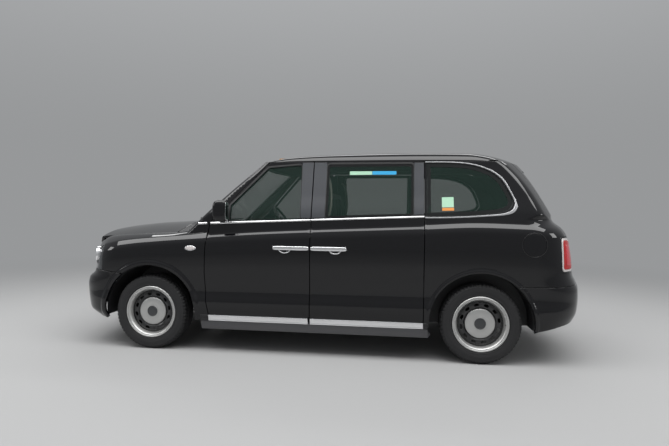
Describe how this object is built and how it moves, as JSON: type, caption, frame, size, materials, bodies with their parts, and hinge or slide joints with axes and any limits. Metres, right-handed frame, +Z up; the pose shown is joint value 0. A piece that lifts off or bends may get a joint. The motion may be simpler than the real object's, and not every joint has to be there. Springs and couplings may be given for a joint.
{
  "type": "taxi cab",
  "caption": "Black purpose-built taxi cab with rear-hinged passenger doors, steered front wheels, opening bonnet, tailgate and fuel flap.",
  "frame": {"origin": "centre of the plan bounding box at the ground", "axes": "+X rearward along the car, +Y to its right, +Z up"},
  "size_m": [4.8568, 2.036, 1.888],
  "materials": {
    "paint_black": "gloss",
    "underbody": "matt",
    "trim_black": "satin",
    "satin_grey": "satin",
    "chrome": "polished",
    "glass_tint": "clear",
    "lamp_clear": "clear",
    "lamp_red": "gloss",
    "rubber_tyre": "matt",
    "wheel_black": "gloss",
    "cast": "rough",
    "dash_grey": "matt",
    "seat_cloth": "woven",
    "wheel_leather": "smooth",
    "sign": "gloss",
    "battery": "satin"
  },
  "bodies": {
    "body": {"floor_pan": "underbody", "front_subframe": "underbody", "power_unit": "cast", "battery_pack": "battery", "arch_liners": "trim_black", "centre_posts": "trim_black", "rear_axle": "cast", "sills": "satin_grey", "wing_left": "paint_black", "wing_right": "paint_black", "scuttle": "trim_black", "headlamps": "lamp_clear", "grille": "chrome", "front_bumper": "paint_black", "quarter_left": "paint_black", "quarter_right": "paint_black", "tail_lamps": "lamp_red", "rear_bumper": "paint_black", "roof_panel": "paint_black", "pillars": "paint_black", "windscreen": "glass_tint", "quarter_glass": "glass_tint", "roof_sign": "sign", "dashboard": "dash_grey", "steering_column": "trim_black", "driver_seat": "seat_cloth", "partition": "glass_tint", "rear_bench": "seat_cloth", "tip_up_seats": "seat_cloth"},
    "door_front_left": {"door_front_left": "paint_black", "glass_front_left": "glass_tint", "mirror_left": "paint_black"},
    "door_front_right": {"door_front_right": "paint_black", "glass_front_right": "glass_tint", "mirror_right": "paint_black"},
    "door_rear_left": {"door_rear_left": "paint_black", "glass_rear_left": "glass_tint"},
    "door_rear_right": {"door_rear_right": "paint_black", "glass_rear_right": "glass_tint"},
    "bonnet": {"bonnet": "paint_black"},
    "tailgate": {"tailgate": "paint_black", "tailgate_glass": "glass_tint"},
    "fuel_flap": {"fuel_flap": "paint_black"},
    "steering_wheel": {"steering_wheel": "wheel_leather"},
    "knuckle_left": {"knuckle_left": "cast"},
    "knuckle_right": {"knuckle_right": "cast"},
    "wheel_front_left": {"tyre_front_left": "rubber_tyre", "rim_front_left": "wheel_black"},
    "wheel_front_right": {"tyre_front_right": "rubber_tyre", "rim_front_right": "wheel_black"},
    "wheel_rear_left": {"tyre_rear_left": "rubber_tyre", "rim_rear_left": "wheel_black"},
    "wheel_rear_right": {"tyre_rear_right": "rubber_tyre", "rim_rear_right": "wheel_black"}
  },
  "joints": [
    {"name": "door_front_left_hinge", "type": "hinge", "parent": "body", "child": "door_front_left", "pos_m": [-0.965, -0.925, 0.9], "axis": [0, 0, -1], "range_deg": [0, 68]},
    {"name": "door_front_right_hinge", "type": "hinge", "parent": "body", "child": "door_front_right", "pos_m": [-0.965, 0.925, 0.9], "axis": [0, 0, 1], "range_deg": [0, 68]},
    {"name": "door_rear_left_hinge", "type": "hinge", "parent": "body", "child": "door_rear_left", "pos_m": [0.925, -0.926, 0.9], "axis": [0, 0, 1], "range_deg": [0, 80]},
    {"name": "door_rear_right_hinge", "type": "hinge", "parent": "body", "child": "door_rear_right", "pos_m": [0.925, 0.926, 0.9], "axis": [0, 0, -1], "range_deg": [0, 80]},
    {"name": "bonnet_hinge", "type": "hinge", "parent": "body", "child": "bonnet", "pos_m": [-1.346, 0, 1.181], "axis": [0, 1, 0], "range_deg": [0, 50]},
    {"name": "tailgate_hinge", "type": "hinge", "parent": "body", "child": "tailgate", "pos_m": [1.75, 0, 1.816], "axis": [0, -1, 0], "range_deg": [0, 80]},
    {"name": "fuel_flap_hinge", "type": "hinge", "parent": "body", "child": "fuel_flap", "pos_m": [1.758, -0.935, 1.036], "axis": [0, 0, -1], "range_deg": [0, 100]},
    {"name": "steer_left", "type": "hinge", "parent": "body", "child": "knuckle_left", "pos_m": [-1.5485, -0.78, 0.345], "axis": [0, 0, 1], "range_deg": [-35, 35]},
    {"name": "steer_right", "type": "hinge", "parent": "body", "child": "knuckle_right", "pos_m": [-1.5485, 0.78, 0.345], "axis": [0, 0, 1], "range_deg": [-35, 35]},
    {"name": "steering_wheel_turn", "type": "hinge", "parent": "body", "child": "steering_wheel", "pos_m": [-0.6, 0.4, 1.19], "axis": [0.8387, 0, 0.5446], "range_deg": [-490, 490]},
    {"name": "wheel_front_left_roll", "type": "hinge", "parent": "knuckle_left", "child": "wheel_front_left", "pos_m": [-1.5485, -0.78, 0.345], "axis": [0, 1, 0], "continuous": true},
    {"name": "wheel_front_right_roll", "type": "hinge", "parent": "knuckle_right", "child": "wheel_front_right", "pos_m": [-1.5485, 0.78, 0.345], "axis": [0, 1, 0], "continuous": true},
    {"name": "wheel_rear_left_roll", "type": "hinge", "parent": "body", "child": "wheel_rear_left", "pos_m": [1.4365, -0.78, 0.345], "axis": [0, 1, 0], "continuous": true},
    {"name": "wheel_rear_right_roll", "type": "hinge", "parent": "body", "child": "wheel_rear_right", "pos_m": [1.4365, 0.78, 0.345], "axis": [0, 1, 0], "continuous": true}
  ],
  "couplings": [
    {"joint": "steer_left", "follows": "steer_right", "ratio": 1},
    {"joint": "steering_wheel_turn", "follows": "steer_right", "ratio": -13}
  ]
}
